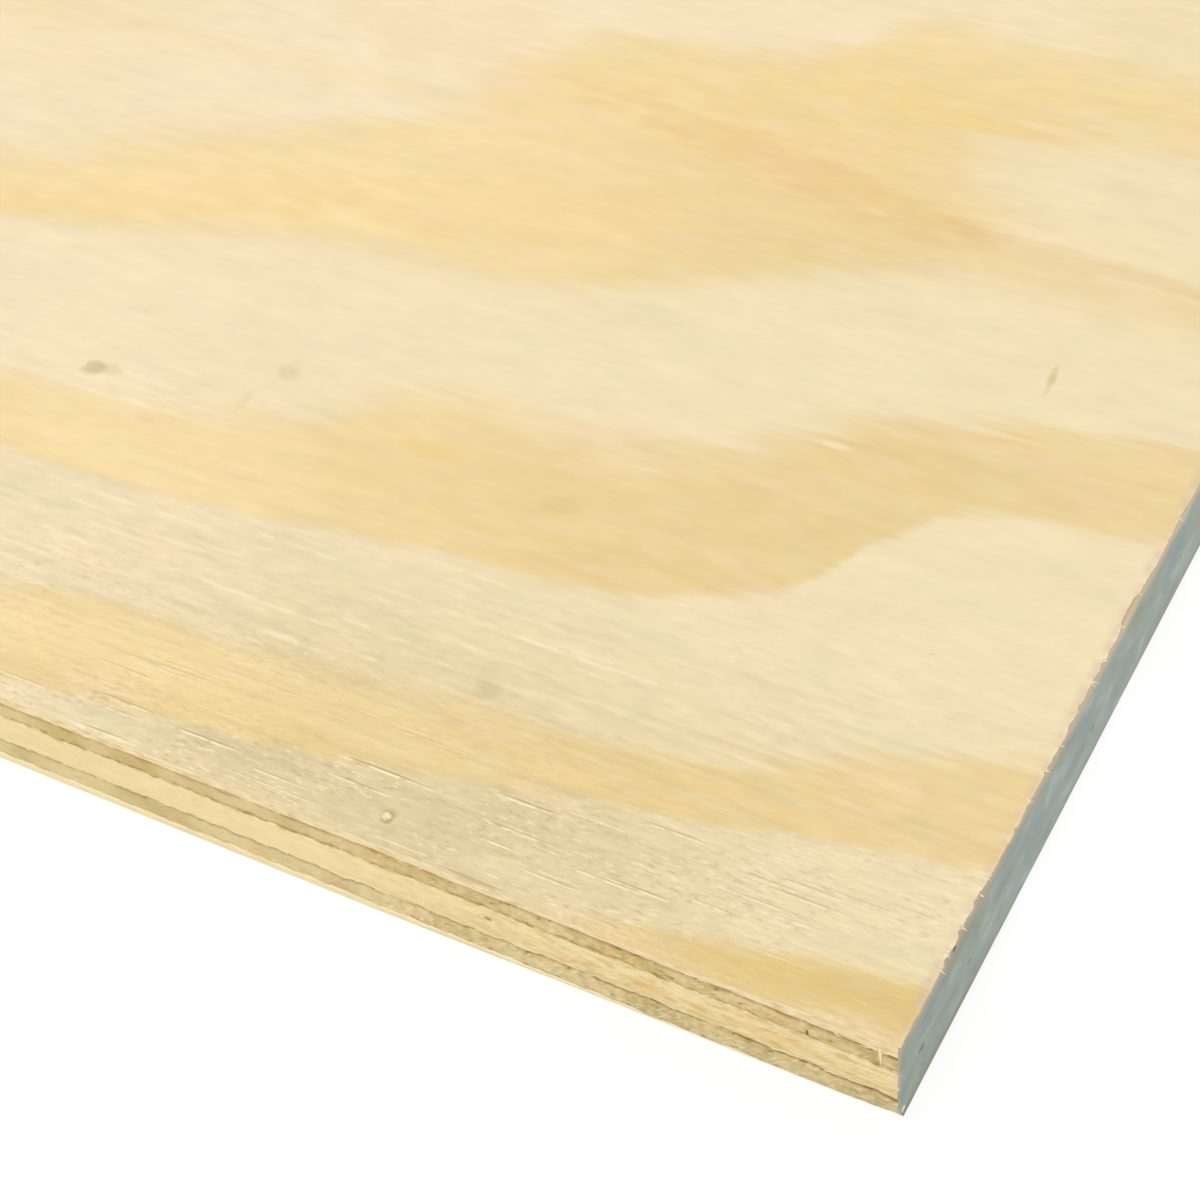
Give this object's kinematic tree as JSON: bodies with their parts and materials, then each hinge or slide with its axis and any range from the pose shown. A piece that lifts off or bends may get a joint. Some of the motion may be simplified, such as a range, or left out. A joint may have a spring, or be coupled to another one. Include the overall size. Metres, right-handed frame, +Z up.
{
  "type": "plywood sheet",
  "caption": "Flat rectangular softwood plywood sheet of cross-laid veneers, with a banded show face, bare sawn long edges and sealed ends, for cutting and fixing in building work.",
  "frame": {"origin": "centre of the underside, in the plane of the back veneer's lower face", "axes": "+X along the sheet's length and the face grain, +Y across its width, +Z up through its thickness, out of the show face"},
  "size_m": [2.44, 1.22, 0.012],
  "materials": {
    "face_wood": "sanded, bare",
    "crossband_wood": "sawn, bare",
    "core_wood": "sawn, bare",
    "back_wood": "sanded, bare",
    "end_sealer": "matt sealing paint on sawn wood"
  },
  "bodies": {
    "root": {"face_veneer": "face_wood", "upper_crossband": "crossband_wood", "core_veneer": "core_wood", "lower_crossband": "crossband_wood", "back_veneer": "back_wood"}
  },
  "joints": []
}
